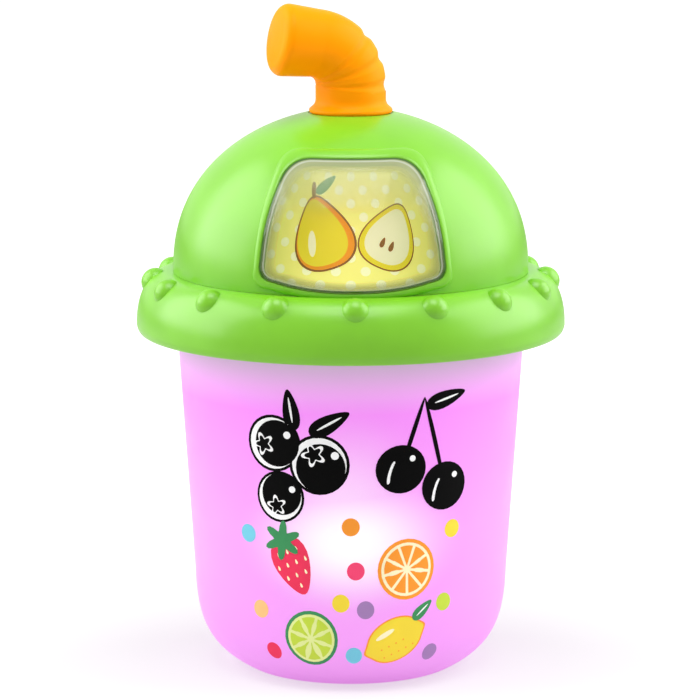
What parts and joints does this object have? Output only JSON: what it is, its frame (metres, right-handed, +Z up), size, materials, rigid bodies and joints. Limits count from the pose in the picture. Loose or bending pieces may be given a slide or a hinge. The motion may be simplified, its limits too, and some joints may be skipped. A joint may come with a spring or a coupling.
{
  "type": "toy smoothie cup",
  "caption": "Light-up toy drink cup with a wide domed lid, a picture window and a thick bent straw that turns a picture drum.",
  "frame": {"origin": "on the ground under the middle of the cup", "axes": "+Z up, the picture window faces -Y, +X to the right seen from the window side"},
  "size_m": [0.125, 0.125, 0.1941],
  "materials": {
    "cup": "satin, translucent, lit from inside",
    "base": "fine texture",
    "inner_plastic": "moulded",
    "screw": "zinc plated",
    "cell": "plain sleeve",
    "contact": "sprung sheet",
    "switch_can": "folded sheet",
    "knob": "ridged",
    "board": "solder mask",
    "led": "clear",
    "lead": "sleeved",
    "lid": "satin",
    "lens": "clear, polished",
    "chip": "moulded",
    "speaker": "paper cone",
    "straw": "satin",
    "drum": "moulded",
    "print": "printed film"
  },
  "bodies": {
    "housing": {"cup_shell": "cup", "base_plate": "base", "battery_box": "inner_plastic", "base_screw_1": "screw", "base_screw_2": "screw", "base_screw_3": "screw", "base_screw_4": "screw", "battery_1": "cell", "battery_2": "cell", "contact_minus": "contact", "contact_plus": "contact", "contact_bridge": "contact", "slide_switch": "switch_can", "led_board": "board", "led_board_screw_1": "screw", "led_board_screw_2": "screw", "led_1": "led", "led_2": "led", "led_3": "led", "lid_lead": "lead", "brim": "lid", "clamp_ring": "lid", "lid_floor": "inner_plastic", "dome_shell": "lid", "window_lens": "lens", "cup_screw_1": "screw", "cup_screw_2": "screw", "cup_screw_3": "screw", "cup_screw_4": "screw", "lid_screw_1": "screw", "lid_screw_2": "screw", "lid_screw_3": "screw", "lid_screw_4": "screw", "main_board": "board", "main_board_screw_1": "screw", "main_board_screw_2": "screw", "sound_chip": "chip", "speaker": "speaker"},
    "straw_and_drum": {"straw": "straw", "straw_screw": "screw", "picture_drum": "drum", "picture_band": "print", "contact_wiper": "contact"},
    "switch_slide": {"switch_knob": "knob"},
    "door": {"battery_door": "base", "door_screw_1": "screw", "door_screw_2": "screw"}
  },
  "joints": [
    {"name": "straw_turn", "type": "hinge", "parent": "housing", "child": "straw_and_drum", "pos_m": [0, 0, 0.1665], "axis": [0, 0, 1], "continuous": true},
    {"name": "power_switch_slide", "type": "slide", "parent": "housing", "child": "switch_slide", "axis": [1, 0, 0], "range_m": [-0.002, 0.002]},
    {"name": "battery_door_lift", "type": "slide", "parent": "housing", "child": "door", "axis": [0, 0, -1], "range_m": [0, 0.02]}
  ]
}
